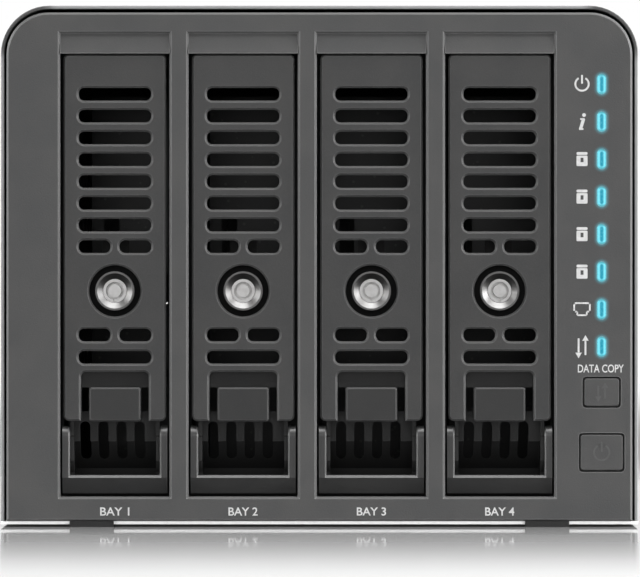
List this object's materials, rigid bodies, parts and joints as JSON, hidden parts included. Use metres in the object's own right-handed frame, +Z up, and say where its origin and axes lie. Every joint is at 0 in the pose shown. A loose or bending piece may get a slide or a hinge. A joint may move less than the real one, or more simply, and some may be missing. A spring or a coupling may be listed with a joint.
{
  "type": "network storage enclosure",
  "caption": "Desktop network storage enclosure: steel wrap cover, plastic bezel, lockable slide-out drive trays with swing handles, indicator strip, push buttons and a rear fan.",
  "frame": {"origin": "on the table, under the middle of the enclosure", "axes": "+Z up; the front with its trays faces -Y; +X is to the right of someone facing the front"},
  "size_m": [0.214, 0.25, 0.175],
  "materials": {
    "charcoal_steel": "fine-textured dark charcoal powder coat",
    "zinc_steel": "zinc-plated sheet",
    "rubber": "matte",
    "charcoal_plastic": "moulded, matte dark grey",
    "screw_steel": "nickel-plated",
    "black_plastic": "moulded, black",
    "brass": "turned",
    "circuit_board": "green solder mask",
    "lens": "frosted clear, lit cyan",
    "aluminium": "extruded, natural",
    "port_metal": "stamped shell",
    "guard_wire": "plated wire",
    "tray_plastic": "moulded, matte dark grey",
    "black_oxide": "black-oxide steel",
    "spring_steel": "drawn wire",
    "lock_metal": "satin nickel",
    "handle_plastic": "moulded, satin dark grey"
  },
  "bodies": {
    "enclosure": {"cover": "charcoal_steel", "base_plate": "zinc_steel", "feet": "rubber", "front_bezel": "charcoal_plastic", "rear_panel": "charcoal_steel", "screws": "screw_steel", "drive_cage": "charcoal_steel", "bay_runners": "black_plastic", "board_standoffs": "brass", "backplane_board": "circuit_board", "drive_connectors": "black_plastic", "indicator_board": "circuit_board", "light_pipes": "lens", "button_switches": "black_plastic", "mainboard": "circuit_board", "heatsink": "aluminium", "network_jack": "port_metal", "usb_ports": "port_metal", "power_inlet": "black_plastic", "fan_frame": "black_plastic", "fan_guard": "guard_wire"},
    "tray_1": {"tray_carrier_1": "black_plastic", "tray_grille_1": "tray_plastic", "handle_pins_1": "black_oxide", "release_spring_1": "spring_steel", "lock_cylinder_1": "lock_metal"},
    "handle_1": {"tray_handle_1": "handle_plastic"},
    "tab_1": {"release_tab_1": "handle_plastic"},
    "lock_1": {"lock_barrel_1": "lock_metal", "lock_cam_1": "black_oxide"},
    "tray_2": {"tray_carrier_2": "black_plastic", "tray_grille_2": "tray_plastic", "handle_pins_2": "black_oxide", "release_spring_2": "spring_steel", "lock_cylinder_2": "lock_metal"},
    "handle_2": {"tray_handle_2": "handle_plastic"},
    "tab_2": {"release_tab_2": "handle_plastic"},
    "lock_2": {"lock_barrel_2": "lock_metal", "lock_cam_2": "black_oxide"},
    "tray_3": {"tray_carrier_3": "black_plastic", "tray_grille_3": "tray_plastic", "handle_pins_3": "black_oxide", "release_spring_3": "spring_steel", "lock_cylinder_3": "lock_metal"},
    "handle_3": {"tray_handle_3": "handle_plastic"},
    "tab_3": {"release_tab_3": "handle_plastic"},
    "lock_3": {"lock_barrel_3": "lock_metal", "lock_cam_3": "black_oxide"},
    "tray_4": {"tray_carrier_4": "black_plastic", "tray_grille_4": "tray_plastic", "handle_pins_4": "black_oxide", "release_spring_4": "spring_steel", "lock_cylinder_4": "lock_metal"},
    "handle_4": {"tray_handle_4": "handle_plastic"},
    "tab_4": {"release_tab_4": "handle_plastic"},
    "lock_4": {"lock_barrel_4": "lock_metal", "lock_cam_4": "black_oxide"},
    "power_key": {"power_button": "charcoal_plastic"},
    "copy_key": {"copy_button": "charcoal_plastic"},
    "rotor": {"fan_rotor": "black_plastic"}
  },
  "joints": [
    {"name": "tray_1_slide", "type": "slide", "parent": "enclosure", "child": "tray_1", "axis": [0, -1, 0], "range_m": [0, 0.17]},
    {"name": "handle_1_swing", "type": "hinge", "parent": "tray_1", "child": "handle_1", "pos_m": [-0.06865, -0.1209, 0.0304], "axis": [-1, 0, 0], "range_deg": [0, 80]},
    {"name": "release_tab_1_press", "type": "slide", "parent": "tray_1", "child": "tab_1", "axis": [0, 0, 1], "range_m": [0, 0.004], "stiffness_N_per_m": 300, "springref_m": -0.002, "deforming": ["release_spring_1"]},
    {"name": "lock_1_turn", "type": "hinge", "parent": "tray_1", "child": "lock_1", "pos_m": [-0.06865, -0.10905, 0.0792], "axis": [0, 1, 0], "range_deg": [0, 90]},
    {"name": "tray_2_slide", "type": "slide", "parent": "enclosure", "child": "tray_2", "axis": [0, -1, 0], "range_m": [0, 0.17]},
    {"name": "handle_2_swing", "type": "hinge", "parent": "tray_2", "child": "handle_2", "pos_m": [-0.0256, -0.1209, 0.0304], "axis": [-1, 0, 0], "range_deg": [0, 80]},
    {"name": "release_tab_2_press", "type": "slide", "parent": "tray_2", "child": "tab_2", "axis": [0, 0, 1], "range_m": [0, 0.004], "stiffness_N_per_m": 300, "springref_m": -0.002, "deforming": ["release_spring_2"]},
    {"name": "lock_2_turn", "type": "hinge", "parent": "tray_2", "child": "lock_2", "pos_m": [-0.0256, -0.10905, 0.0792], "axis": [0, 1, 0], "range_deg": [0, 90]},
    {"name": "tray_3_slide", "type": "slide", "parent": "enclosure", "child": "tray_3", "axis": [0, -1, 0], "range_m": [0, 0.17]},
    {"name": "handle_3_swing", "type": "hinge", "parent": "tray_3", "child": "handle_3", "pos_m": [0.01745, -0.1209, 0.0304], "axis": [-1, 0, 0], "range_deg": [0, 80]},
    {"name": "release_tab_3_press", "type": "slide", "parent": "tray_3", "child": "tab_3", "axis": [0, 0, 1], "range_m": [0, 0.004], "stiffness_N_per_m": 300, "springref_m": -0.002, "deforming": ["release_spring_3"]},
    {"name": "lock_3_turn", "type": "hinge", "parent": "tray_3", "child": "lock_3", "pos_m": [0.01745, -0.10905, 0.0792], "axis": [0, 1, 0], "range_deg": [0, 90]},
    {"name": "tray_4_slide", "type": "slide", "parent": "enclosure", "child": "tray_4", "axis": [0, -1, 0], "range_m": [0, 0.17]},
    {"name": "handle_4_swing", "type": "hinge", "parent": "tray_4", "child": "handle_4", "pos_m": [0.0605, -0.1209, 0.0304], "axis": [-1, 0, 0], "range_deg": [0, 80]},
    {"name": "release_tab_4_press", "type": "slide", "parent": "tray_4", "child": "tab_4", "axis": [0, 0, 1], "range_m": [0, 0.004], "stiffness_N_per_m": 300, "springref_m": -0.002, "deforming": ["release_spring_4"]},
    {"name": "lock_4_turn", "type": "hinge", "parent": "tray_4", "child": "lock_4", "pos_m": [0.0605, -0.10905, 0.0792], "axis": [0, 1, 0], "range_deg": [0, 90]},
    {"name": "power_button_press", "type": "slide", "parent": "enclosure", "child": "power_key", "axis": [0, 1, 0], "range_m": [0, 0.0008], "stiffness_N_per_m": 1200, "springref_m": -0.0006},
    {"name": "copy_button_press", "type": "slide", "parent": "enclosure", "child": "copy_key", "axis": [0, 1, 0], "range_m": [0, 0.0008], "stiffness_N_per_m": 1200, "springref_m": -0.0006},
    {"name": "fan_spin", "type": "hinge", "parent": "enclosure", "child": "rotor", "pos_m": [-0.02, 0.105, 0.092], "axis": [0, 1, 0], "continuous": true}
  ]
}
